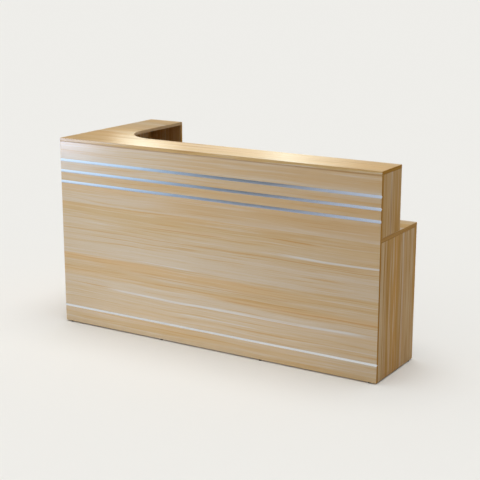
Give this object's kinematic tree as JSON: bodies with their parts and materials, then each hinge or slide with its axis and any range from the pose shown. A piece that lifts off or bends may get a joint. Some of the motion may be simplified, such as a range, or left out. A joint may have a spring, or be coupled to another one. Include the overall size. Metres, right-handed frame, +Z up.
{
  "type": "reception desk",
  "caption": "L-shaped reception desk of oak laminate boards with a raised counter over a lower worktop, aluminium trim strips on the front, cable grommets and levelling feet.",
  "frame": {"origin": "on the floor, under the middle of the desk's box", "axes": "+X along the front towards the right end seen from the visitor's side, +Y from the front towards the staff side, +Z up"},
  "size_m": [2, 0.8806, 1.085],
  "materials": {
    "oak_laminate": "light oak laminate, satin",
    "oak_edge_band": "oak edge band, satin",
    "aluminium_trim": "satin brushed",
    "zinc_steel": "zinc plated",
    "black_plastic": "moulded, fine grain"
  },
  "bodies": {
    "desk": {"counter_top": "oak_laminate", "counter_edge_band": "oak_edge_band", "worktop": "oak_laminate", "worktop_edge_band": "oak_edge_band", "front_panel": "oak_laminate", "left_side_panel": "oak_laminate", "right_end_panel_upper": "oak_laminate", "right_end_panel_lower": "oak_laminate", "return_end_panel_upper": "oak_laminate", "return_end_panel_lower": "oak_laminate", "support_panel": "oak_laminate", "counter_divider": "oak_laminate", "trim_strip_upper_1": "aluminium_trim", "trim_strip_upper_2": "aluminium_trim", "trim_strip_upper_3": "aluminium_trim", "trim_strip_toe": "aluminium_trim", "worktop_bracket_front_1": "zinc_steel", "worktop_bracket_front_2": "zinc_steel", "worktop_bracket_front_3": "zinc_steel", "worktop_bracket_front_4": "zinc_steel", "worktop_bracket_left_1": "zinc_steel", "worktop_bracket_left_2": "zinc_steel", "counter_bracket_front_1": "zinc_steel", "counter_bracket_front_2": "zinc_steel", "counter_bracket_front_3": "zinc_steel", "counter_bracket_front_4": "zinc_steel", "counter_bracket_left_1": "zinc_steel", "counter_bracket_left_2": "zinc_steel", "grommet_liner_1": "black_plastic", "grommet_liner_2": "black_plastic", "foot_insert_1": "zinc_steel", "foot_insert_2": "zinc_steel", "foot_insert_3": "zinc_steel", "foot_insert_4": "zinc_steel", "foot_insert_5": "zinc_steel", "foot_insert_6": "zinc_steel", "foot_insert_7": "zinc_steel", "foot_insert_8": "zinc_steel", "foot_insert_9": "zinc_steel"},
    "cap_1": {"grommet_cap_1": "black_plastic"},
    "cap_2": {"grommet_cap_2": "black_plastic"},
    "foot_1": {"levelling_foot_1": "black_plastic"},
    "foot_2": {"levelling_foot_2": "black_plastic"},
    "foot_3": {"levelling_foot_3": "black_plastic"},
    "foot_4": {"levelling_foot_4": "black_plastic"},
    "foot_5": {"levelling_foot_5": "black_plastic"},
    "foot_6": {"levelling_foot_6": "black_plastic"},
    "foot_7": {"levelling_foot_7": "black_plastic"},
    "foot_8": {"levelling_foot_8": "black_plastic"},
    "foot_9": {"levelling_foot_9": "black_plastic"}
  },
  "joints": [
    {"name": "cap_1_lift", "type": "slide", "parent": "desk", "child": "cap_1", "axis": [0, 0, 1], "range_m": [0, 0.04]},
    {"name": "cap_2_lift", "type": "slide", "parent": "desk", "child": "cap_2", "axis": [0, 0, 1], "range_m": [0, 0.04]},
    {"name": "foot_1_height", "type": "slide", "parent": "desk", "child": "foot_1", "axis": [0, 0, -1], "range_m": [-0.0015, 0.012]},
    {"name": "foot_2_height", "type": "slide", "parent": "desk", "child": "foot_2", "axis": [0, 0, -1], "range_m": [-0.0015, 0.012]},
    {"name": "foot_3_height", "type": "slide", "parent": "desk", "child": "foot_3", "axis": [0, 0, -1], "range_m": [-0.0015, 0.012]},
    {"name": "foot_4_height", "type": "slide", "parent": "desk", "child": "foot_4", "axis": [0, 0, -1], "range_m": [-0.0015, 0.012]},
    {"name": "foot_5_height", "type": "slide", "parent": "desk", "child": "foot_5", "axis": [0, 0, -1], "range_m": [-0.0015, 0.012]},
    {"name": "foot_6_height", "type": "slide", "parent": "desk", "child": "foot_6", "axis": [0, 0, -1], "range_m": [-0.0015, 0.012]},
    {"name": "foot_7_height", "type": "slide", "parent": "desk", "child": "foot_7", "axis": [0, 0, -1], "range_m": [-0.0015, 0.012]},
    {"name": "foot_8_height", "type": "slide", "parent": "desk", "child": "foot_8", "axis": [0, 0, -1], "range_m": [-0.0015, 0.012]},
    {"name": "foot_9_height", "type": "slide", "parent": "desk", "child": "foot_9", "axis": [0, 0, -1], "range_m": [-0.0015, 0.012]}
  ]
}
